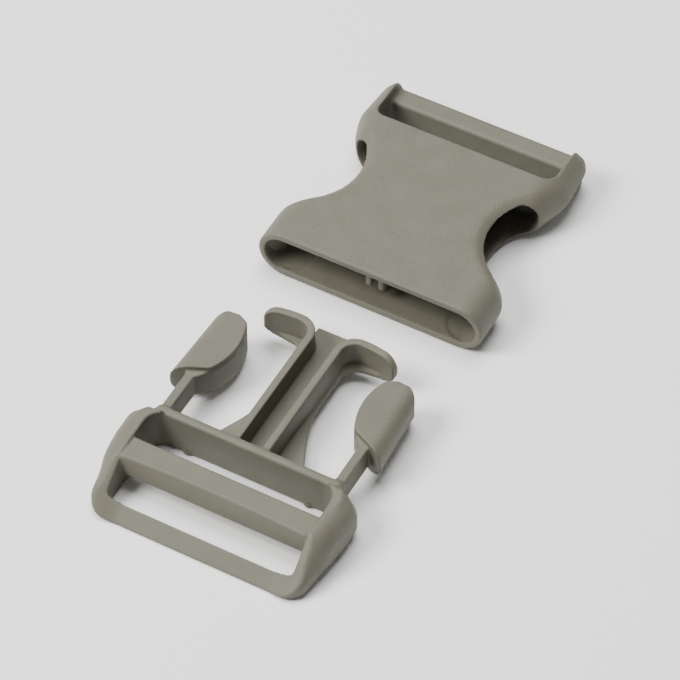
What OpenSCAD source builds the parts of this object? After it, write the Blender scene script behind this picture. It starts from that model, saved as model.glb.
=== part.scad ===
// Side release buckle for 38 mm webbing, with its two halves apart as in the photograph.
// The frame is X across, Y from the plug towards the socket and Z up. Both halves lie on Z = 0.
// The origin is the bottom centre of the bounding box. All sizes are in millimetres.

/* [Webbing] */

// width that both webbing slots leave between their ends
slot_width = 40.2; // [36:0.1:42]
// free way of the plug, from where it lies to the socket's mouth
travel = 46.8; // [0:0.1:60]

/* [Socket] */

// width over the sides at the mouth
socket_width = 50; // [46:0.1:56]
// how far the ears reach beyond the rear bar
ear_reach = 0.8; // [0.4:0.1:2]
// thickness of the socket, from its bottom to its flat top
socket_height = 11.5; // [10:0.1:14]
// wall above, below and beside the cavity
socket_wall = 1.5; // [1:0.1:2]
// distance from the mouth to where the lead-in has narrowed to the throat
lead_in = 5; // [3:0.1:6]
// how far each barb hooks behind the throat
catch = 1.7; // [1:0.1:1.9]
// room between a barb and the face that it hooks behind, along the buckle
catch_gap = 0.6; // [0.3:0.1:1]
// room between a barb and the cavity's side
side_gap = 0.4; // [0.3:0.1:0.8]
// room beyond the guide's plate when the buckle is fastened
end_gap = 1.3; // [0.5:0.1:2]
// wall between the cavity and the webbing slot
end_wall = 2.3; // [1.5:0.1:4]
// width of flat floor between the raised middle and the waist
floor_margin = 1.2; // [1:0.1:3]
// height of the raised middle over the rest of the floor
floor_rise = 0.2; // [0.1:0.1:0.8]
// radius of the round scallop in each side
scallop_radius = 11.9; // [10:0.1:14]
// distance of the scallop's centre from the mouth
scallop_y = 23.4; // [22:0.1:27]
// distance from the mouth to the start of the round shoulders
shoulder_y = 9; // [8:0.1:11]
// radius of the round shoulders
shoulder_radius = 3.6; // [1:0.1:4]
// radius that rounds the mouth's edge over
mouth_round = 0.6; // [0.2:0.1:1]
// radius that rounds the ears' tips over, above and below
ear_round = 4; // [1:0.1:5]
// half the width of the waist
waist_half = 16.2; // [14:0.1:18]
// radius that rounds the scallop's edges over into the flat faces
scallop_round = 3.3; // [1:0.1:3.5]
// distance from the webbing slot to where the scallops' straight rear flanks start
flank_start = 5; // [3:0.1:7]
// distance from the webbing slot to where the rear flanks reach the sides
flank_end = 1.7; // [0:0.1:2.5]
// length over which the cavity's sides turn inwards to its far end
pocket_end = 8; // [3:0.1:10]
// how far inwards the cavity's sides have turned near its far end
pocket_turn = 3.6; // [1:0.1:4]
// length of the webbing slot, along the buckle
socket_slot_length = 7.4; // [5:0.1:8]
// radius of the slot's near corners
socket_slot_corner = 3; // [1:0.1:4]
// length of the rear bar's section, along the buckle
rear_bar_length = 4.6; // [3:0.1:5]
// height of the rear bar
rear_bar_height = 7.5; // [5:0.1:9]
// thickness of the rear sides at the shoulders
rear_side = 4.2; // [3.5:0.1:5]
// thickness of the ears at their tips
ear_side = 3.3; // [3:0.1:4]
// radius of the ears' corners
ear_corner = 3.2; // [1:0.1:3.3]

/* [Guide rails in the socket] */

// thickness of each rail
rail_thickness = 1.25; // [0.8:0.05:1.4]
// room between a rail and the guide's rib beside it
rail_side_gap = 0.4; // [0.2:0.05:0.6]
// room between the rails and the channel's floor below them
rail_under_gap = 0.4; // [0.2:0.05:1]
// distance from the mouth to the rails' near ends
rail_start = 2.4; // [1:0.1:6]

/* [Plug frame] */

// thickness of the side rails at the ears
side_rail = 4.9; // [4.5:0.1:6]
// thickness of the side rails at the front bar
tail_rail = 3.4; // [2:0.1:4]
// height of the side rails
side_rail_height = 9.8; // [9.6:0.1:11]
// height of the ears at the rails' forward ends
plug_ear_height = 10.4; // [10:0.1:11]
// radius that rounds the rails' outer sides, above and below
side_round = 4.8; // [2:0.1:4.8]
// radius of the frame's corners beside the front bar
tail_corner = 5; // [3:0.1:6]
// length of the front bar's section, along the buckle
front_bar_length = 3.7; // [3:0.1:4.2]
// height of the front bar
front_bar_height = 2.9; // [2.6:0.1:3.4]
// length of the webbing slot between the front bar and the ladder bar
slot_1_length = 5.2; // [5:0.1:6]
// length of the ladder bar's section, along the buckle
ladder_length = 5.6; // [4:0.1:5.8]
// thickness of the ladder bar, down from its top
ladder_thickness = 5.1; // [3:0.1:6]
// height of the ladder bar's flat top
ladder_top = 9.5; // [8:0.1:9.6]
// length of the webbing slot between the ladder bar and the crossbar
slot_2_length = 7.4; // [6:0.1:9]
// thickness of the crossbar, along the buckle
crossbar_thickness = 1.7; // [1.4:0.1:2.2]
// height of the crossbar
crossbar_height = 9.6; // [9.5:0.1:10.5]
// radius of the second slot's forward corners
slot_2_corner = 3.8; // [2:0.1:4]
// distance of the small nubs under the crossbar from the centre line
nub_x = 13.2; // [8:0.1:15]
// radius of the nubs
nub_radius = 1.1; // [0.5:0.1:1.5]

/* [Plug guide] */

// room under the guide in the socket
under_gap = 0.7; // [0.3:0.05:0.9]
// room over the guide in the socket
top_gap = 0.55; // [0.3:0.05:1]
// thickness of the guide's plate
plate_thickness = 1.1; // [0.8:0.1:1.5]
// thickness of the channel's floor between the ribs
channel_floor = 1.6; // [1:0.1:1.7]
// half the width of the plate at its neck
neck_half = 4.7; // [4.4:0.1:6]
// half the width of the plate at the crossbar
base_half = 11.6; // [10:0.1:13]
// distance from the crossbar over which the plate narrows to its neck
flare_length = 17.5; // [12:0.1:20]
// length of the plate, forward from the crossbar
plate_length = 35.5; // [34:0.1:36.2]
// half the width of the channel between the ribs
channel_half = 2.4; // [2.3:0.05:3]
// thickness of the ribs and flukes
rib_thickness = 1.6; // [1:0.1:2]
// outer radius where the ribs turn outwards into the flukes
turn_radius = 4.5; // [3.5:0.1:5.5]
// outer radius of the flukes, which bend slightly back beyond the turn
fluke_radius = 25; // [18:1:40]
// forward distance of the flukes' crests from the crossbar
fluke_y = 33; // [32:0.1:33.5]
// half the distance between the flukes' round tips
fluke_half = 14.8; // [12:0.1:16]
// how far the plate's edge stands out inside the flukes
fluke_ledge = 1.1; // [0.2:0.1:1.5]

/* [Arms] */

// room between a stem and the throat beside it
stem_gap = 1.5; // [0.8:0.1:1.8]
// thickness of the stems
stem_thickness = 2; // [1.6:0.1:2.6]
// room over and under the heads in the socket
head_gap = 0.25; // [0.15:0.05:0.5]
// how much lower than the heads' flat faces the stems lie, above and below
stem_step = 1.1; // [0:0.05:1.5]
// forward distance of the arm's hinge line from the crossbar
pivot_y = 1.4; // [1.2:0.1:2]
// clearance round the arm's root
root_gap = 0.2; // [0.1:0.05:0.3]
// how much less far out the heads reach at their tips than at the barbs
tip_taper = 0.8; // [0:0.1:1.5]
// forward distance of the barb's outer corner from the crossbar
barb_y = 8.8; // [8:0.1:9.5]
// angle between the barb's rear face and the X direction
barb_angle = 25; // [10:1:35]
// forward distance of the head's tip from the crossbar
tip_y = 26.8; // [24:0.1:26.9]
// half the distance between the heads' inner sides where they bulge the most
head_inner_half = 13.8; // [13:0.1:16]
// radius of the heads' bulging inner sides
head_inner_radius = 14; // [12:0.1:18]
// radius of the tip's outer corner
tip_corner = 3.4; // [2:0.1:3.6]
// radius that rounds the heads' outer sides, above and below
head_round = 3.3; // [2:0.1:3.8]

/* [Hidden] */

$fn = 64;

barb_half = socket_width / 2 - socket_wall - side_gap;
tip_half = barb_half - tip_taper;
throat_half = barb_half - catch;
floor_half = waist_half - floor_margin;
cavity_depth = plate_length + end_gap;
socket_slot_y = cavity_depth + end_wall;
socket_length = socket_slot_y + socket_slot_length + rear_bar_length + ear_reach;
plug_length = front_bar_length + slot_1_length + ladder_length + slot_2_length + crossbar_thickness;
plug_width = slot_width + 2 * side_rail;
plug_tail_width = slot_width + 2 * tail_rail;
rear_width = slot_width + 2 * rear_side;
ear_width = slot_width + 2 * ear_side;

total_length = plug_length + travel + socket_length;
mouth_y = total_length / 2 - socket_length;
cross_y = mouth_y - travel;
tail_y = cross_y - plug_length;
rear_y = mouth_y + socket_length;

socket_half = socket_width / 2;
cavity_half = socket_half - socket_wall;
cavity_height = socket_height - 2 * socket_wall;
slot_half = slot_width / 2;
socket_slot_start = mouth_y + socket_slot_y;
rear_bar_start = socket_slot_start + socket_slot_length;
rear_bar_end = rear_bar_start + rear_bar_length;

crossbar_back = cross_y - crossbar_thickness;
front_bar_end = tail_y + front_bar_length;
ladder_start = front_bar_end + slot_1_length;
ladder_end = ladder_start + ladder_length;
stem_outer = throat_half - stem_gap;
stem_inner = stem_outer - stem_thickness;
root_radius = stem_thickness / 2;
pivot = [stem_outer - root_radius, cross_y + pivot_y];
crossbar_half = max(stem_outer, slot_half + 0.5);
nose_bottom = socket_wall + floor_rise + under_gap;
nose_top = socket_height - socket_wall - top_gap;
nose_height = nose_top - nose_bottom;
head_bottom = socket_wall + floor_rise + head_gap;
head_height = cavity_height - floor_rise - 2 * head_gap;
stem_bottom = head_bottom + stem_step;
stem_height = head_height - 2 * stem_step;

plastic = [0.52, 0.51, 0.45];

// Points on an arc round a centre, from one angle to another, both ends counted.
function arc(centre, radius, from, to, steps = 8) =
    [for (i = [0:steps]) centre + radius * [cos(from + (to - from) * i / steps),
                                            sin(from + (to - from) * i / steps)]];

// Completes the right half of an outline, listed upwards from the centre line, with its mirror image.
function whole(right) = concat(right, [for (i = [len(right) - 1:-1:0]) [-right[i][0], right[i][1]]]);

// A rectangle with round corners, centred on the origin.
module rounded_rectangle(width, height, radius) {
    square([width - 2 * radius, height], center = true);
    square([width, height - 2 * radius + 0.001], center = true);
    for (x = [-1, 1], y = [-1, 1])
        translate([x * (width / 2 - radius), y * (height / 2 - radius)])
            circle(radius);
}

// Extrudes a section drawn in X and Z along Y.
module along_y(from, to) {
    translate([0, to, 0])
        rotate([90, 0, 0])
            linear_extrude(to - from)
                children();
}

// Extrudes a section drawn in Y and Z along X.
module along_x(from, to) {
    translate([from, 0, 0])
        rotate([90, 0, 90])
            linear_extrude(to - from)
                children();
}

// Draws a shape and its mirror image across the centre plane.
module both_sides() {
    children();
    mirror([1, 0, 0])
        children();
}

// The socket's outline, seen from above, without its scallops.
module socket_plan() {
    shoulder = [socket_half - shoulder_radius, mouth_y + shoulder_y];
    ear = [ear_width / 2 - ear_corner, rear_y - ear_corner];
    polygon(whole(concat(
        [[socket_half, mouth_y]],
        arc(shoulder, shoulder_radius, 0, 75),
        [[socket_half - 6, mouth_y + scallop_y], [rear_width / 2 - 3, socket_slot_start - flank_start]],
        [[rear_width / 2, socket_slot_start - flank_end]],
        arc(ear, ear_corner, 0, 90),
        [[slot_half - 0.4, rear_y], [slot_half - 0.4, rear_bar_end]])));
}

// The right scallop as a turned cutter, with a round flare above and below.
module scallop_cutter() {
    flare = scallop_radius + scallop_round;
    translate([waist_half + scallop_radius, mouth_y + scallop_y, 0])
        rotate_extrude()
            difference() {
                translate([0, -1])
                    square([flare, socket_height + 2]);
                translate([scallop_radius, scallop_round])
                    square([flare, socket_height - 2 * scallop_round]);
                for (z = [scallop_round, socket_height - scallop_round])
                    translate([flare, z])
                        circle(scallop_round);
            }
}

// The cavity's outline: lead-in, throat with its oblique hooks, pocket and far end.
module cavity_plan() {
    slope = tan(barb_angle);
    hook_y = mouth_y + barb_y - catch_gap;
    polygon(whole([
        [cavity_half, mouth_y - 1],
        [cavity_half, mouth_y + 1.6],
        [throat_half, mouth_y + lead_in],
        [throat_half, hook_y + catch * slope],
        [cavity_half, hook_y - side_gap * slope],
        [cavity_half, mouth_y + cavity_depth - pocket_end],
        [cavity_half - pocket_turn, mouth_y + cavity_depth - 0.3 * pocket_end],
        [cavity_half - 4.6, mouth_y + cavity_depth]]));
}

// The space inside the socket, with round sides like the mouth's.
module cavity() {
    intersection() {
        translate([0, 0, socket_wall])
            linear_extrude(cavity_height)
                cavity_plan();
        translate([0, 0, socket_height / 2])
            along_y(mouth_y - 1, mouth_y + cavity_depth + 1)
                polygon(whole(arc([cavity_half - cavity_height / 2, 0], cavity_height / 2, -90, 90)));
    }
}

// The middle of the cavity's floor, a little higher than the pockets for the arms beside it.
module raised_floor() {
    translate([-floor_half, mouth_y + 0.6, socket_wall - 0.5])
        cube([2 * floor_half, cavity_depth, floor_rise + 0.5]);
}

// Side view of the socket: edges just broken at the mouth and well rounded at the ears.
module socket_profile() {
    polygon(concat(
        arc([mouth_y + mouth_round, socket_height - mouth_round], mouth_round, 180, 90, 3),
        arc([rear_y - ear_round, socket_height - ear_round], ear_round, 90, 0),
        arc([rear_y - ear_round, ear_round], ear_round, 0, -90),
        arc([mouth_y + mouth_round, mouth_round], mouth_round, 270, 180, 3)));
}

// The webbing slot with two round near corners, and the lowered way over the rear bar.
module socket_slot() {
    length = rear_y - socket_slot_start + 1;
    corner = socket_slot_corner;
    translate([0, 0, -1])
        linear_extrude(socket_height + 2)
            intersection() {
                translate([0, socket_slot_start + length / 2])
                    rounded_rectangle(slot_width, length + 0.001, corner);
                translate([-slot_half, socket_slot_start])
                    square([slot_width, socket_slot_length]);
            }
    translate([-slot_half, rear_bar_start - corner, rear_bar_height])
        cube([slot_width, rear_y - rear_bar_start + corner + 1, socket_height]);
}

// The two rails under the ceiling, which run in the channel of the plug's guide.
module socket_rails() {
    rail_x = channel_half - rail_side_gap - rail_thickness;
    rail_z = nose_bottom + channel_floor + rail_under_gap;
    both_sides()
        translate([rail_x, mouth_y + rail_start, rail_z])
            cube([rail_thickness, cavity_depth - rail_start + 0.5, socket_height - socket_wall / 2 - rail_z]);
}

module socket() {
    color(plastic) {
        difference() {
            intersection() {
                linear_extrude(socket_height)
                    socket_plan();
                translate([0, 0, socket_height / 2])
                    along_y(mouth_y, rear_y)
                        rounded_rectangle(socket_width, socket_height, socket_height / 2 - 0.01);
                along_x(-socket_half, socket_half)
                    socket_profile();
            }
            both_sides()
                scallop_cutter();
            cavity();
            socket_slot();
        }
        raised_floor();
        socket_rails();
    }
}

// The frame's outline, with its round ears and tail corners.
module frame_plan() {
    corner = [plug_tail_width / 2 - tail_corner, tail_y + tail_corner];
    shoulder = crossbar_half + 0.4;
    ear_radius = plug_width / 2 - shoulder - 0.4;
    ear = [plug_width / 2 - ear_radius, cross_y - 0.9 - ear_radius];
    polygon(whole(concat(
        arc(corner, tail_corner, -90, 0),
        arc(ear, ear_radius, 0, 90),
        [[shoulder, cross_y - 0.9], [shoulder, cross_y]])));
}

// Side view of the rails: level at the ladder bar, higher at the ears, sloping down to the front bar.
module rail_profile() {
    polygon([
        [tail_y, 0],
        [cross_y, 0],
        [cross_y, crossbar_height],
        [crossbar_back - 1.2, plug_ear_height - 0.1],
        [crossbar_back - 2.6, plug_ear_height],
        [ladder_end - 0.4, side_rail_height],
        [ladder_start, side_rail_height],
        [ladder_start - 2.6, side_rail_height - 2],
        [tail_y + 2.6, front_bar_height + 1.4],
        [tail_y, front_bar_height + 0.4]]);
}

// The two rails beside the slots, rounded on their outer sides.
module side_rails() {
    intersection() {
        linear_extrude(plug_ear_height)
            difference() {
                frame_plan();
                translate([-slot_half, tail_y - 1])
                    square([slot_width, ladder_end - tail_y + slot_2_corner]);
                translate([0, (ladder_start + crossbar_back) / 2])
                    rounded_rectangle(slot_width, crossbar_back - ladder_start, slot_2_corner);
                translate([-stem_inner, crossbar_back - 0.5])
                    square([2 * stem_inner, crossbar_thickness + 1]);
            }
        along_x(-plug_width / 2, plug_width / 2)
            rail_profile();
        translate([0, 0, plug_ear_height / 2])
            along_y(tail_y, cross_y)
                rounded_rectangle(plug_width, plug_ear_height, side_round);
    }
}

// A bar across the frame between the rails, with rounded long edges.
module cross_piece(from, to, bottom, top, radius) {
    translate([0, (from + to) / 2, (bottom + top) / 2])
        along_x(-slot_half - 0.5, slot_half + 0.5)
            rounded_rectangle(to - from, top - bottom, radius);
}

// The right arm's root on the frame: a block with a hollow seat for the arm's round end.
module arm_root() {
    front = pivot_y - 0.4;
    translate([0, 0, stem_bottom])
        linear_extrude(stem_height)
            difference() {
                translate([stem_inner - 0.6, cross_y - 0.5])
                    square([stem_thickness + 1.2, front + 0.5]);
                translate(pivot)
                    circle(root_radius + root_gap);
            }
}

module plug_frame() {
    color(plastic) {
        side_rails();
        cross_piece(tail_y, front_bar_end, 0, front_bar_height, 1.3);
        cross_piece(ladder_start, ladder_end, ladder_top - ladder_thickness, ladder_top, 0.5);
        translate([-crossbar_half, crossbar_back, 0])
            cube([2 * crossbar_half, crossbar_thickness, crossbar_height]);
        both_sides() {
            arm_root();
            translate([nub_x, crossbar_back + 0.4, 0])
                cylinder(r = nub_radius, h = 1.6);
        }
    }
}

// The plate under the ribs: flared at the crossbar, narrow at the neck and widening under the flukes.
module guide_plate() {
    flare = base_half - neck_half;
    front = cross_y + fluke_y;
    ledge_radius = 3.6;
    under = [neck_half + ledge_radius, front - rib_thickness - fluke_ledge - ledge_radius];
    linear_extrude(plate_thickness)
        polygon(whole(concat(
            [for (i = [0:8]) [neck_half + flare * pow(1 - i / 8, 1.5), cross_y + flare_length * i / 8]],
            arc(under, ledge_radius, 180, 90),
            [[fluke_half - 2, front - rib_thickness - 0.6], [fluke_half - 3, front - 0.8]],
            [[neck_half + 0.3, front - 0.8], [neck_half + 0.3, cross_y + plate_length]])));
}

// The right rib and its fluke, which turns outwards in front of the arm's tip.
module guide_rib() {
    turn = [channel_half + turn_radius, cross_y + fluke_y - turn_radius];
    crest = [turn[0], cross_y + fluke_y - fluke_radius];
    bend = asin((fluke_half - turn[0]) / fluke_radius);
    polygon(concat(
        [[channel_half, cross_y]],
        arc(turn, turn_radius, 180, 90),
        arc(crest, fluke_radius, 90, 90 - bend, 4),
        arc(crest, fluke_radius - rib_thickness, 90 - bend, 90, 4),
        arc(turn, turn_radius - rib_thickness, 90, 180),
        [[channel_half + rib_thickness, cross_y]]));
}

// The space that the ribs and flukes stay in, with round sides like the cavity's.
module nose_space() {
    along_y(cross_y, cross_y + plate_length)
        translate([0, nose_bottom + nose_height / 2])
            polygon(whole(arc([fluke_half - nose_height / 2, 0], nose_height / 2, -90, 90)));
}

module plug_guide() {
    color(plastic) {
        translate([0, 0, nose_bottom]) {
            guide_plate();
            translate([-channel_half - 0.2, cross_y, 0])
                cube([2 * channel_half + 0.4, plate_length, channel_floor]);
        }
        intersection() {
            translate([0, 0, nose_bottom])
                linear_extrude(nose_height)
                    both_sides()
                        guide_rib();
            nose_space();
        }
    }
}

// The right arm's stem, from its round root to where it runs into the head's bulging inner side.
module stem_plan() {
    translate(pivot)
        circle(root_radius);
    translate([stem_inner, pivot[1]])
        square([stem_thickness, barb_y + 2]);
    intersection() {
        head_circle();
        translate([head_inner_half, cross_y + barb_y])
            square([stem_outer - head_inner_half, tip_y - barb_y - 8]);
    }
}

// The circle that bounds the right head on its inner side.
module head_circle() {
    translate([head_inner_half + head_inner_radius, cross_y + 19.4])
        circle(head_inner_radius);
}

// The right head's outline: oblique rear face, bulging inner side and round tip.
module head_plan() {
    barb = [barb_half, cross_y + barb_y];
    tip = [tip_half - tip_corner, cross_y + tip_y - tip_corner];
    rear = barb_half - head_inner_half;
    intersection() {
        head_circle();
        polygon(concat(
            [barb, barb + [0, 0.8]],
            arc(tip, tip_corner, 3, 70),
            [[17.5, cross_y + tip_y], [head_inner_half - 0.8, cross_y + tip_y - 2.2]],
            [barb + rear * [-1, tan(barb_angle)]]));
    }
}

// The right arm: a thin stem, and a thicker head with its outer side rounded over.
module arm() {
    lean = atan((barb_half - tip_half) / (tip_y - barb_y));
    color(plastic) {
        translate([0, 0, stem_bottom])
            linear_extrude(stem_height)
                stem_plan();
        intersection() {
            translate([0, 0, head_bottom])
                linear_extrude(head_height)
                    head_plan();
            translate([barb_half, cross_y + barb_y, head_bottom + head_height / 2])
                rotate([0, 0, lean])
                    translate([-20, 0, 0])
                        along_y(-14, 24)
                            rounded_rectangle(40, head_height, head_round);
        }
    }
}

module arm_right() {
    arm();
}

module arm_left() {
    mirror([1, 0, 0])
        arm();
}

socket();
plug_frame();
plug_guide();
arm_left();
arm_right();
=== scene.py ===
"""Side release buckle in grey-green plastic, its two halves apart on a pale floor.

Each moulding is drawn as a distance field in millimetres, with the sizes of the part's source, and is
meshed here. Fields join with fillets, as a mould's cavities do, and follow the solids that they stand for.
"""

import math

import bpy
import numpy as np
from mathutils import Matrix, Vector

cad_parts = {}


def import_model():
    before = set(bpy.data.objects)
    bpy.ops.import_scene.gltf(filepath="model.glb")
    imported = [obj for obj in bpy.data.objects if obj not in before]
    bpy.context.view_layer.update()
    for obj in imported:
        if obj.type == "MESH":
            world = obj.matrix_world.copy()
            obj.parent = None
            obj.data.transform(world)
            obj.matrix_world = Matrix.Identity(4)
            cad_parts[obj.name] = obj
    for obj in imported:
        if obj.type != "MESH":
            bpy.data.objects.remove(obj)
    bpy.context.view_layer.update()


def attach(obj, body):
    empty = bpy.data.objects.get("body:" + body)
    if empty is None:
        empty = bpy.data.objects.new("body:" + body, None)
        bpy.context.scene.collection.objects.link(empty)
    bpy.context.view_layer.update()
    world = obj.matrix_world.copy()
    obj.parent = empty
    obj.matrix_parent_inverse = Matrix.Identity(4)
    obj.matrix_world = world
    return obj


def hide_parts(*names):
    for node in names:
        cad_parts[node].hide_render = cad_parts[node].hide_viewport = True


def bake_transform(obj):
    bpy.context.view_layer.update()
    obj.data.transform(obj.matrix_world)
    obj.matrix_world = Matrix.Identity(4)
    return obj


# Sizes in millimetres, as in the part's source. X is across, Y runs from the plug to the socket, Z is up.
MOUTH = 9.25  # the socket's mouth
REAR = 61.15  # the tips of the socket's ears
MID = 5.75  # half the socket's height
HALF_WIDTH = 25  # half the width of either moulding
SLOT_HALF = 20.1  # half the width of every webbing slot
CAVITY_HALF = 23.5  # half the cavity's width
CAVITY_RISE = 4.25  # half its height
CAVITY_END = MOUTH + 36.8
THROAT_HALF = 21.4  # half its width where it is narrowed to catch the barbs
POCKET_INNER = 15  # where the pockets for the arms start, across
POCKET_FLOOR = 1.5
POCKET_DEPTH = 0.2  # how much lower that is than the floor between the pockets
SCALLOP = (28.1, MOUTH + 23.4)  # the scallop's centre
SCALLOP_RADIUS = 11.9
SCALLOP_END = SCALLOP[1] + 19.0
BEVEL_WIDTH = 3.2  # the scallop's bevel, which is an arc
BEVEL_RADIUS = 5.4
SLOT_START = MOUTH + 39.1  # the socket's webbing slot, and the bar behind it
REAR_BAR = (MOUTH + 46.5, MOUTH + 51.1)
REAR_BAR_TOP = 7.5
RAIL_SIDES = (0.75, 2)  # the inner and outer side of the guide rails under the cavity's ceiling
RAIL_BOTTOM = 4.4

CROSS = -37.55  # the crossbar's front face
CROSS_BACK = CROSS - 1.7
CROSS_TOP = 9.6
RAIL_TOP = 10.4  # the highest of the side rails
TAIL = -61.15  # the back of the front bar
TAIL_TOP = 3.4  # how high the side rails are there
BAR_LENGTH = 3.7  # the front bar, along Y
BAR_EDGE = (-57.7, 2.9)  # a point in Y and Z on the front bar's sloping face, at its slot
BAR_NORMAL = (-0.647, 0.762)  # which way that face looks
LADDER_START = TAIL + 8.9
LADDER_END = CROSS - 9.1
LADDER_SPAN = (4.4, 9.5)  # the lowest and highest of the ladder bar

GUIDE_END = CROSS + 35.5
GUIDE_SPAN = (2.4, 9.45)  # the lowest and highest of the guide
PLATE_TOP = 3.5
CHANNEL_FLOOR = 4  # the top of the thicker strip between the ribs
FLUKE_HALF = 14.8  # half the width over the flukes

HEAD_START = 8.8  # from the crossbar to an arm's head
HEAD_SIDE = 23.1  # the outer side of a head, where it starts
HEAD_SPAN = (1.95, 9.75)  # the lowest and highest of the heads
STEM_MIDDLE = 18.9
STEM_HALF = 1  # half a stem's thickness
STEM_SPAN = (3.05, 8.65)  # the lowest and highest of the stems
ARM_INNER = 12.8  # beyond this, what stands in front of the crossbar belongs to an arm
ARM_END = 28.4  # from the crossbar to past the heads, short of the flukes
SPLIT = CROSS + 0.3  # where the moulding's mesh ends and the arms' go on
SEAM = 0.3  # how far an arm's mesh runs on inside the moulding's

# How finely each is meshed, over what distance its normals are taken, and what the meshes are scaled by.
SOCKET_GRID = 0.42
PLUG_GRID = 0.36
ARM_GRID = 0.28
NORMAL_REACH = 0.06
METRE = 1000

# The plastic's colours. The last number of each is its opacity.
BASE_DARK = (0.121, 0.1155, 0.0875, 1)
BASE_LIGHT = (0.136, 0.130, 0.0995, 1)
# the lighter colour of the painted glints on level faces
FLECK_GLINT = (0.26, 0.252, 0.207, 1)


# Distance fields. Negative is inside. x, y and z are arrays that broadcast.


def fillet(a, b, radius):
    """The union of two fields, with a fillet of that radius where they meet."""
    near = np.hypot(np.maximum(radius - a, 0), np.maximum(radius - b, 0))
    return np.maximum(radius, np.minimum(a, b)) - near


def rounded(a, b, radius):
    """What two fields share, with its edge rounded to that radius."""
    near = np.hypot(np.maximum(radius + a, 0), np.maximum(radius + b, 0))
    return np.minimum(-radius, np.maximum(a, b)) + near


def cut(a, b, radius):
    """The first field less the second, with its edge rounded to that radius."""
    return rounded(a, -b, radius)


def bevelled(a, b, width, radius):
    """What two fields share, with its edge cut back by that width to an arc that meets both at a crease."""
    inset = (width + math.sqrt(2 * radius**2 - width**2)) / 2
    face = np.hypot(np.maximum(inset + a, 0), np.maximum(inset + b, 0)) - radius
    return rounded(np.maximum(a, b), face, 0.25)


def slab(v, low, high):
    return np.abs(v - (low + high) / 2) - (high - low) / 2


def brick(spans, radius):
    """A box with round edges. spans holds an array with its low and high for each direction."""
    sides = [slab(v, low + radius, high - radius) for v, low, high in spans]
    outside = np.sqrt(sum(np.maximum(s, 0) ** 2 for s in sides))
    deepest = sides[0]
    for s in sides[1:]:
        deepest = np.maximum(deepest, s)
    return outside + np.minimum(deepest, 0) - radius


def bullnose(plan, z, middle, half, crease=0):
    """A plate of height 2 * half with a full round edge, or with a crease where two flatter arcs meet."""
    radius = half + crease
    reach = np.sqrt(radius**2 - crease**2)
    return np.hypot(np.maximum(plan + reach, 0), np.abs(z - middle) + crease) - radius


def outline(u, v, points):
    """Signed distance in a plane to a closed outline."""
    nearest, inside = np.inf, False
    for (au, av), (bu, bv) in zip(points, points[1:] + points[:1]):
        eu, ev = bu - au, bv - av
        wu, wv = u - au, v - av
        along = np.clip((wu * eu + wv * ev) / (eu * eu + ev * ev), 0, 1)
        nearest = np.minimum(nearest, (wu - along * eu) ** 2 + (wv - along * ev) ** 2)
        if ev:
            inside = inside ^ (((av > v) != (bv > v)) & (wu < wv * eu / ev))
    return np.where(inside, -1, 1) * np.sqrt(nearest)


def arc(centre, radius, start, end, steps=8):
    turns = [math.radians(start + (end - start) * i / steps) for i in range(steps + 1)]
    return [(centre[0] + radius * math.cos(t), centre[1] + radius * math.sin(t)) for t in turns]


def curve(points, steps=4):
    """Points on a smooth curve through the given ones."""
    ends = [points[0], *points, points[-1]]
    smooth = [points[0]]
    for before, a, b, after in zip(ends, ends[1:], ends[2:], ends[3:]):
        for i in range(1, steps + 1):
            t = i / steps
            pulls = (-t + 2 * t**2 - t**3, 2 - 5 * t**2 + 3 * t**3, t + 4 * t**2 - 3 * t**3, t**3 - t**2)
            through = list(zip(pulls, (before, a, b, after)))
            smooth.append(tuple(sum(pull * q[k] for pull, q in through) / 2 for k in (0, 1)))
    return smooth


def ramp(v, low, high):
    """0 below low, 1 above high and smooth between them."""
    t = np.clip((v - low) / (high - low), 0, 1)
    return t * t * (3 - 2 * t)


# The right half of each outline. It runs on past the middle, because fields are asked for |x| alone.
FAR = 80
SOCKET_SIDES = [
    (-FAR, MOUTH - FAR),
    (HALF_WIDTH, MOUTH - FAR),
    (HALF_WIDTH, SCALLOP[1]),
    (24.3, MOUTH + 37.4),
    (23.4, REAR - 3.2),
    (23.2, REAR + FAR),
    (-FAR, REAR + FAR),
]
SCALLOP_SIDES = [
    (SCALLOP[0] + 1.2, SCALLOP_END),
    *arc(SCALLOP, SCALLOP_RADIUS, 138, 270, 16),
    (FAR, SCALLOP[1] - SCALLOP_RADIUS),
    (FAR, SCALLOP_END),
]
# what the cavity's two outlines share
CAVITY_START = [(-FAR, MOUTH - FAR), (CAVITY_HALF, MOUTH - FAR)]
CAVITY_TAPER = [(CAVITY_HALF, MOUTH + 28.8), (19.9, MOUTH + 34.4), (18.9, CAVITY_END)]
CAVITY = [
    *CAVITY_START,
    (CAVITY_HALF, MOUTH + 1.6),
    (THROAT_HALF, MOUTH + 5),
    (THROAT_HALF, MOUTH + 8.99),
    (CAVITY_HALF, MOUTH + 8.01),
    *CAVITY_TAPER,
    (-FAR, CAVITY_END),
]
CAVITY_SIDES = [
    *CAVITY_START,
    *CAVITY_TAPER,
    (18.9, MOUTH + FAR),
    (-FAR, MOUTH + FAR),
]
FRAME_SIDES = [
    (-FAR, TAIL),
    *arc((18.5, TAIL + 5), 5, -90, -5),
    (24.35, -52),
    (HALF_WIDTH, -46),
    *arc((21.4, CROSS - 4.5), 3.6, 0, 90),
    (19.9, CROSS - 0.9),
    (19.9, CROSS),
    (-FAR, CROSS),
]
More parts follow.
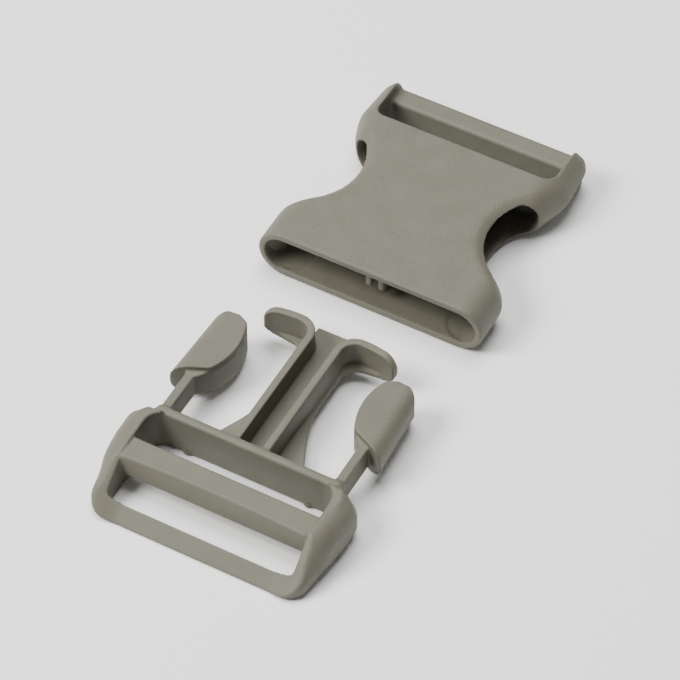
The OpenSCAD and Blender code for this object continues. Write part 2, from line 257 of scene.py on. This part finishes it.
# from the side, the upper edge of the side rails, which ends in a step down to the crossbar
RAIL_CURVE = [
    (TAIL, TAIL_TOP),
    (-59, 4),
    (-56, 6.2),
    (-53, 8.9),
    (-50, 9.9),
    (-46, 10.1),
    (-42, 10.35),
    (-40.5, RAIL_TOP),
]
FRAME_TOP = [
    (TAIL - FAR, TAIL_TOP),
    *curve(RAIL_CURVE),
    (-39.4, RAIL_TOP),
    (-39.2, CROSS_TOP),
    (CROSS + FAR, CROSS_TOP),
    (CROSS + FAR, -FAR),
    (TAIL - FAR, -FAR),
]
PLATE = [
    (-FAR, CROSS - 1),
    (11.6, CROSS - 1),
    *[(4.7 + 6.9 * (1 - i / 8) ** 1.5, CROSS + 17.5 * i / 8) for i in range(9)],
    *arc((8.3, CROSS + 26.7), 3.6, 180, 90),
    (12.8, CROSS + 30.8),
    (11.8, CROSS + 32.2),
    (5, CROSS + 32.2),
    (5, GUIDE_END),
    (-FAR, GUIDE_END),
]
RIB = [
    (2.4, CROSS - 1),
    *arc((6.9, CROSS + 28.5), 4.5, 180, 90),
    *arc((6.9, CROSS + 8), 25, 90, 71.6, 4),
    *arc((6.9, CROSS + 8), 23.4, 71.6, 90, 4),
    *arc((6.9, CROSS + 28.5), 2.9, 90, 180),
    (4, CROSS - 1),
]
HEAD = [
    (HEAD_SIDE, CROSS + HEAD_START),
    (HEAD_SIDE, CROSS + 9.6),
    *arc((18.9, CROSS + 23.4), 3.4, 3, 70),
    (17.5, CROSS + 26.8),
    (13, CROSS + 24.6),
    (10, CROSS + 23),
    (10, CROSS + 14.9),
]


def socket_field(x, y, z):
    x = np.abs(x)
    # round sides at the mouth, and a parting line between flatter faces beside the webbing slot
    body = bullnose(outline(x, y, SOCKET_SIDES), z, MID, MID, 2.2 * ramp(y, MOUTH + 32, MOUTH + 38))
    body = rounded(body, y - REAR, 3.6)
    body = rounded(body, MOUTH - y, 0.6)
    # the webbing slot, open to the rear over a bar that lies between the ears
    gap = brick([(x, -SLOT_HALF, SLOT_HALF), (y, SLOT_START, MOUTH + FAR)], 3)
    body = cut(body, gap, 0.5)
    bar = brick([(x, -SLOT_HALF - 2, SLOT_HALF + 2), (y, *REAR_BAR), (z, 0, REAR_BAR_TOP)], 0.9)
    body = fillet(body, bar, 1.0)
    body = bevelled(body, -outline(x, y, SCALLOP_SIDES), BEVEL_WIDTH, BEVEL_RADIUS)
    # the cavity, whose sides are as round as the mouth's, while the catches and the far end are upright
    hollow = bullnose(outline(x, y, CAVITY_SIDES), z, MID, CAVITY_RISE)
    hollow = np.maximum(hollow, outline(x, y, CAVITY))
    # a raised middle floor, and a round-cornered pocket on each side for an arm
    pocket = brick([(x, POCKET_INNER, FAR), (y, MOUTH + 0.7, MOUTH + FAR)], 5)
    hollow = np.maximum(hollow, POCKET_FLOOR + POCKET_DEPTH * ramp(pocket, -0.4, 0.3) - z)
    body = cut(body, hollow, 0.45)
    rail = brick([(x, *RAIL_SIDES), (y, MOUTH + 2.4, MOUTH + 37.4), (z, RAIL_BOTTOM, 11)], 0.25)
    return fillet(body, rail, 0.2)


def guide_field(x, y, z):
    low, high = GUIDE_SPAN
    plate = rounded(outline(x, y, PLATE), slab(z, low, PLATE_TOP), 0.3)
    # the channel's floor, and a wider strip along the plate's end
    floor = brick([(x, -3, 3), (y, CROSS - 1, CROSS + 35), (z, low, CHANNEL_FLOOR)], 0.3)
    strip = brick([(x, -5, 5), (y, CROSS + 31, GUIDE_END), (z, low, CHANNEL_FLOOR)], 0.3)
    floor = np.minimum(floor, strip)
    wall = rounded(outline(x, y, RIB), slab(z, low, high), 0.4)
    # the flukes end as round as the cavity's sides
    half = (high - low) / 2
    space = np.hypot(np.maximum(x - FLUKE_HALF + half, 0), z - low - half) - half
    wall = rounded(wall, space, 0.3)
    return fillet(fillet(plate, floor, 0.2), wall, 0.35)


def arm_field(x, y, z):
    # the head, whose inner side bulges in an arc
    circle = np.hypot(x - 27.8, y - (CROSS + 19.4)) - 14
    head = rounded(outline(x, y, HEAD), circle, 0.35)
    head = rounded(head, slab(z, *HEAD_SPAN), 0.35)
    # the head's outer side, which is round above and below and comes 0.8 mm nearer to the middle in 18 mm
    lean = 0.8 / 18
    outer = (x - HEAD_SIDE + (y - CROSS - HEAD_START) * lean) / math.hypot(1, lean)
    head = np.maximum(head, rounded(outer, slab(z, *HEAD_SPAN), 3.3))
    # the stem, and the thin web in which it runs into the head's bulging inner side
    side = STEM_MIDDLE + STEM_HALF
    web = np.maximum(circle, brick([(x, 13.8, side), (y, CROSS + HEAD_START, CROSS + 18.8)], 0.05))
    stem = brick([(x, STEM_MIDDLE - STEM_HALF, side), (y, CROSS - 1, CROSS + 13)], 0.05)
    stem = rounded(np.minimum(stem, web), slab(z, *STEM_SPAN), 0.4)
    return fillet(head, stem, 0.5)


def frame_field(x, y, z):
    # the edges are rounded less at the low front bar than at the side rails
    grow = ramp(y, TAIL + 2, TAIL + 9)
    body = rounded(outline(x, y, FRAME_SIDES), -z, 1.5 + 1.5 * grow)
    # an ear's front end is sharp towards the slot and round on its outer side
    soft = 1.5 + 3.2 * grow - 3 * ramp(y, CROSS - 8, CROSS - 2) * (1 - ramp(x, 20.6, 23))
    body = rounded(body, outline(y, z, FRAME_TOP), soft)
    # one trough makes both webbing slots, with rounder corners at the crossbar
    corner = 0.8 + 3 * ramp(y, CROSS - 12, CROSS - 8)
    trough = brick([(x, -SLOT_HALF, SLOT_HALF), (y, TAIL + BAR_LENGTH, CROSS_BACK)], corner)
    body = cut(body, trough, 0.5)
    # the front bar's upper face slopes down to its back edge, and rises towards the rails
    bevel = (y - BAR_EDGE[0]) * BAR_NORMAL[0] + (z - BAR_EDGE[1]) * BAR_NORMAL[1]
    body = rounded(body, bevel - 1.3 * ramp(x, 16, 23), 0.3)
    # the ladder bar, whose side towards the front bar leans over most in the middle
    low, high = LADDER_SPAN
    rise = (z - low) / (high - low)
    lean = 0.9 - 0.6 * (np.minimum(x, SLOT_HALF) / SLOT_HALF) ** 2
    front = (LADDER_START + lean * rise - y) * 0.92
    ladder = rounded(rounded(front, y - LADDER_END, 0.4), slab(z, low, high), 0.4)
    ladder = rounded(ladder, outline(y, z, FRAME_TOP) + 1.8 * ramp(x, 18.5, 20.5) - 1.3, 0.4)
    body = fillet(body, np.maximum(ladder, x - SLOT_HALF - 1), 0.4)
    # the crossbar, with a back that is drafted above and below its parting line and has a fine groove near
    # its top
    back = CROSS_BACK + np.maximum(0.05 * (z - MID), 0.1 * (MID - z)) - y
    crossbar = rounded(rounded(back, z - CROSS_TOP, 1.0), y - CROSS, 0.35)
    crossbar = rounded(rounded(crossbar, 0.03 - z, 0.35), x - SLOT_HALF, 1.2)
    groove = np.hypot(y - (CROSS - 1.75), z - 8.55) - 0.3
    crossbar = cut(crossbar, np.maximum(groove, x - 13.6), 0.1)
    body = fillet(body, crossbar, 1.0)
    # a round nub on each side, at the foot of the crossbar's back
    nub = np.maximum(np.hypot(x - 13.2, y - (CROSS - 1.05)) - 1.1, slab(z, 0.2, 1.6))
    return fillet(body, nub, 0.3)


def plug_field(x, y, z):
    """The whole plug, which is one moulding. Its fillets don't swell past the plane that it lies on."""
    x = np.abs(x)
    body = fillet(frame_field(x, y, z), arm_field(x, y, z), 1.3)
    return np.maximum(fillet(body, guide_field(x, y, z), 0.5), 0.02 - z)


def arm_zone(x, y, start):
    """The space beside the guide that belongs to the arms, from the crossbar to short of the flukes."""
    return np.maximum(np.maximum(start - y, y - CROSS - ARM_END), ARM_INNER - np.abs(x))


def moulding_field(x, y, z):
    return np.maximum(plug_field(x, y, z), -arm_zone(x, y, SPLIT))


def arm_piece_field(x, y, z):
    """The right arm. Inside the frame it lies just under the moulding's surface, so that no seam shows."""
    hidden = 0.02 * (1 - ramp(y, CROSS + 0.2, CROSS + 0.4))
    own = np.maximum(plug_field(x, y, z) + hidden, arm_zone(x, y, SPLIT - SEAM))
    return np.maximum(own, -x)


# Meshing.


def surface_net(field, low, high, step):
    """Points and quads near the zero level of a field, one point for each grid cell that it crosses."""
    axes = [np.arange(lo - 1.5 * step, hi + 2 * step, step) for lo, hi in zip(low, high)]
    values = field(*np.meshgrid(*axes, indexing="ij", sparse=True))
    inside = values < 0
    count = np.array(values.shape) - 1
    corners = [np.array((i, j, k)) for i in (0, 1) for j in (0, 1) for k in (0, 1)]
    full = np.zeros(count, dtype=int)
    for corner in corners:
        full += inside[tuple(slice(c, c + n) for c, n in zip(corner, count))]
    cells = np.argwhere((full > 0) & (full < 8))
    number = np.full(count, -1)
    number[tuple(cells.T)] = np.arange(len(cells))

    total, hits = np.zeros(cells.shape), np.zeros(len(cells))
    for a in corners:
        for b in corners:
            if (b - a).min() < 0 or (b - a).sum() != 1:
                continue
            va, vb = values[tuple((cells + a).T)], values[tuple((cells + b).T)]
            crossed = (va < 0) != (vb < 0)
            t = va[crossed] / (va[crossed] - vb[crossed])
            total[crossed] += a + t[:, None] * (b - a)
            hits[crossed] += 1
    points = (cells + total / hits[:, None]) * step + [axis[0] for axis in axes]

    quads = []
    for axis in range(3):
        u, w = np.eye(3, dtype=int)[[(axis + 1) % 3, (axis + 2) % 3]]
        before = inside.take(range(inside.shape[axis] - 1), axis)
        after = inside.take(range(1, inside.shape[axis]), axis)
        for outward in (True, False):
            at = np.argwhere(before & ~after if outward else ~before & after)
            ring = [number[tuple((at - step_back).T)] for step_back in (u + w, w, 0 * u, u)]
            quads.append(np.stack(ring if outward else ring[::-1], axis=1))
    return points, np.concatenate(quads)


def slope_of(field, points, reach):
    """The field's gradient at each point."""
    gradient = np.empty(points.shape)
    for axis in range(3):
        shift = np.eye(3)[axis] * reach
        gradient[:, axis] = field(*(points + shift).T) - field(*(points - shift).T)
    return gradient / (2 * reach)


def settle(field, points, step):
    """Moves the points onto the zero level, no further than most of a grid step."""
    start = points.copy()
    furthest = 0.6 * step
    for _ in range(4):
        gradient = slope_of(field, points, 0.01)
        steepness = np.maximum((gradient**2).sum(1), 0.3)
        points = points - gradient * (field(*points.T) / steepness)[:, None]
        points = start + np.clip(points - start, -furthest, furthest)
    return points


def build(name, field, low, high, step, mirror=False):
    """Meshes a field into an object in metres, with the field's own normals."""
    points, quads = surface_net(field, low, high, step)
    points = settle(field, points, step)
    normals = slope_of(field, points, NORMAL_REACH)
    normals /= np.maximum(np.linalg.norm(normals, axis=1, keepdims=True), 1e-9)
    if mirror:
        points, normals = points * (-1, 1, 1), normals * (-1, 1, 1)
        quads = quads[:, ::-1]
    mesh = bpy.data.meshes.new(name)
    mesh.from_pydata((points / METRE).tolist(), [], quads.tolist())
    mesh.validate()
    mesh.shade_smooth()
    mesh.normals_split_custom_set_from_vertices(normals.tolist())
    piece = bpy.data.objects.new(name, mesh)
    bpy.context.scene.collection.objects.link(piece)
    return piece


# Materials.


class Nodes:
    """Adds shader nodes to a material and joins them."""

    def __init__(self, material):
        material.use_nodes = True
        self.tree = material.node_tree
        self.shader = self.tree.nodes["Principled BSDF"]

    def add(self, kind, settings=None, **inputs):
        node = self.tree.nodes.new("ShaderNode" + kind)
        for key, value in (settings or {}).items():
            setattr(node, key, value)
        for key, value in inputs.items():
            self.feed(node, key.replace("_", " "), value)
        return node

    def feed(self, node, key, value):
        socket = node.inputs[int(key[1:])] if key[0] == "i" and key[1:].isdigit() else node.inputs[key]
        if isinstance(value, bpy.types.NodeSocket):
            self.tree.links.new(value, socket)
        else:
            socket.default_value = value

    def math(self, operation, *values):
        inputs = {f"i{place}": value for place, value in enumerate(values)}
        return self.add("Math", {"operation": operation}, **inputs).outputs[0]

    def spread(self, value, low, high, start=0.0, end=1.0, kind="LINEAR"):
        """Turns a value between low and high into one between start and end."""
        span = {"From_Min": low, "From_Max": high, "To_Min": start, "To_Max": end}
        return self.add("MapRange", {"interpolation_type": kind}, Value=value, **span).outputs[0]

    def texture(self, kind, settings=None, **inputs):
        return self.add("Tex" + kind, settings, **inputs).outputs[0]


def plastic(name, grain):
    """Moulded plastic with a fine spark-eroded texture. grain is how deep it is on level faces."""
    material = bpy.data.materials.new(name)
    n = Nodes(material)
    where = n.add("TexCoord").outputs["Object"]
    facing = n.add("SeparateXYZ", Vector=n.add("NewGeometry").outputs["Normal"]).outputs["Z"]
    # 1 on level faces, and 0 on upright ones
    flat = n.spread(n.math("ABSOLUTE", facing), 0.8, 0.97, kind="SMOOTHSTEP")
    # the grain is fainter on what lies low, such as the cavity's floor and the guide's plate
    tall = n.add("SeparateXYZ", Vector=where).outputs["Z"]
    outer = n.spread(tall, 0.007, 0.009, 0.2, kind="SMOOTHSTEP")

    cloud = n.texture("Noise", Vector=where, Scale=180.0, Detail=3.0, Roughness=0.6)
    fleck = n.texture("Noise", Vector=where, Scale=4200.0, Detail=2.0, Roughness=0.55)
    pits = n.texture("Voronoi", {"feature": "SMOOTH_F1"}, Vector=where, Scale=3000.0, Smoothness=0.6)

    base = n.add("ValToRGB", Fac=cloud)
    for stop, place, colour in zip(base.color_ramp.elements, (0.3, 0.7), (BASE_DARK, BASE_LIGHT)):
        stop.position = place
        stop.color = colour
    # painted glints: light specks on the level faces, painted in for light caught by the grain's pits
    painted_glint = n.math("MULTIPLY", n.spread(fleck, 0.58, 0.76, 0.0, 0.5), flat)
    tint = n.add("Mix", {"data_type": "RGBA"}, Factor=painted_glint)
    n.feed(tint, "i6", base.outputs[0])
    n.feed(tint, "i7", FLECK_GLINT)
    n.feed(n.shader, "Base Color", tint.outputs[2])

    n.feed(n.shader, "Roughness", n.spread(fleck, 0.3, 0.7, 0.48, 0.62))
    n.feed(n.shader, "Specular IOR Level", 0.3)

    depth = n.math("MULTIPLY", n.spread(flat, 0.0, 1.0, 0.25 * grain, grain), outer)
    height = n.math("MULTIPLY", n.math("ADD", fleck, pits), depth)
    bump = n.add("Bump", Height=height, Distance=0.00008, Strength=1.0).outputs[0]
    n.feed(n.shader, "Normal", bump)
    return material


# Floor, light and camera.


def flat_square(name, side, height, material):
    half = side / 2
    mesh = bpy.data.meshes.new(name)
    corners = [(-half, -half, height), (half, -half, height), (half, half, height), (-half, half, height)]
    mesh.from_pydata(corners, [], [(0, 1, 2, 3)])
    mesh.materials.append(material)
    square = bpy.data.objects.new(name, mesh)
    bpy.context.scene.collection.objects.link(square)
    return square


def soft_light(name, place, aim, size, power, colour):
    data = bpy.data.lights.new(name, "AREA")
    data.shape = "DISK"
    data.size = size
    data.energy = power
    data.color = colour
    lamp = bpy.data.objects.new(name, data)
    lamp.location = place
    lamp.rotation_euler = (Vector(aim) - Vector(place)).to_track_quat("-Z", "Y").to_euler()
    bpy.context.scene.collection.objects.link(lamp)


def studio():
    paper = bpy.data.materials.new("floor_paper")
    n = Nodes(paper)
    n.feed(n.shader, "Base Color", (0.95, 0.95, 0.95, 1))
    n.feed(n.shader, "Roughness", 0.9)
    n.feed(n.shader, "Specular IOR Level", 0.1)
    # the floor lies a hair under the part
    flat_square("floor", 6, -0.00005, paper)

    world = bpy.data.worlds.new("studio")
    world.use_nodes = True
    world.node_tree.nodes["Background"].inputs["Color"].default_value = (1, 1, 1, 1)
    world.node_tree.nodes["Background"].inputs["Strength"].default_value = 0.17
    bpy.context.scene.world = world
    soft_light("key", (-0.55, -0.45, 0.75), (0, 0, 0), 0.5, 15, (1.0, 0.99, 0.97))
    soft_light("top", (-0.1, 0.2, 0.9), (0, 0, 0), 0.7, 10.5, (1.0, 1.0, 1.0))


def camera():
    """The photograph's viewpoint, through a long lens."""
    photo_width, focal_length = 680, 3816  # in the photograph's pixels
    azimuth, elevation, distance = math.radians(28.75), math.radians(49.7), 0.75
    aim = Vector((-0.0013, 0, 0))
    level = math.cos(elevation)
    away = Vector((math.sin(azimuth) * level, -math.cos(azimuth) * level, math.sin(elevation)))
    data = bpy.data.cameras.new("camera")
    data.sensor_width = 36
    data.lens = data.sensor_width * focal_length / photo_width
    data.clip_start = 0.01
    eye = bpy.data.objects.new("camera", data)
    eye.location = aim + away * distance
    eye.rotation_euler = (-away).to_track_quat("-Z", "Y").to_euler()
    bpy.context.scene.collection.objects.link(eye)
    bpy.context.scene.camera = eye


def main():
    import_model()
    camera()
    studio()

    grained = plastic("plastic_grained", 1.0)
    smooth = plastic("plastic_smooth", 0.35)

    low, high = (-HALF_WIDTH, MOUTH, 0), (HALF_WIDTH, REAR, 2 * MID)
    socket = build("socket_shell", socket_field, low, high, SOCKET_GRID)
    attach(socket, "socket")
    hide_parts("socket")

    low, high = (-HALF_WIDTH, TAIL, 0), (HALF_WIDTH, -2, RAIL_TOP)
    moulding = build("plug_moulding", moulding_field, low, high, PLUG_GRID)
    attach(moulding, "plug")
    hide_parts("plug_frame", "plug_guide")

    arms = {"arm_left": -1, "arm_right": 1}
    pieces = [(socket, grained), (moulding, smooth)]
    for body, side in arms.items():
        low, high = (13.2, CROSS, 1.9), (23.2, -10, 9.8)
        arm = build(body + "_skin", arm_piece_field, low, high, ARM_GRID, side < 0)
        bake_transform(arm)
        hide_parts(body)
        pieces.append((arm, grained))
    for piece, material in pieces:
        piece.data.materials.append(material)


main()
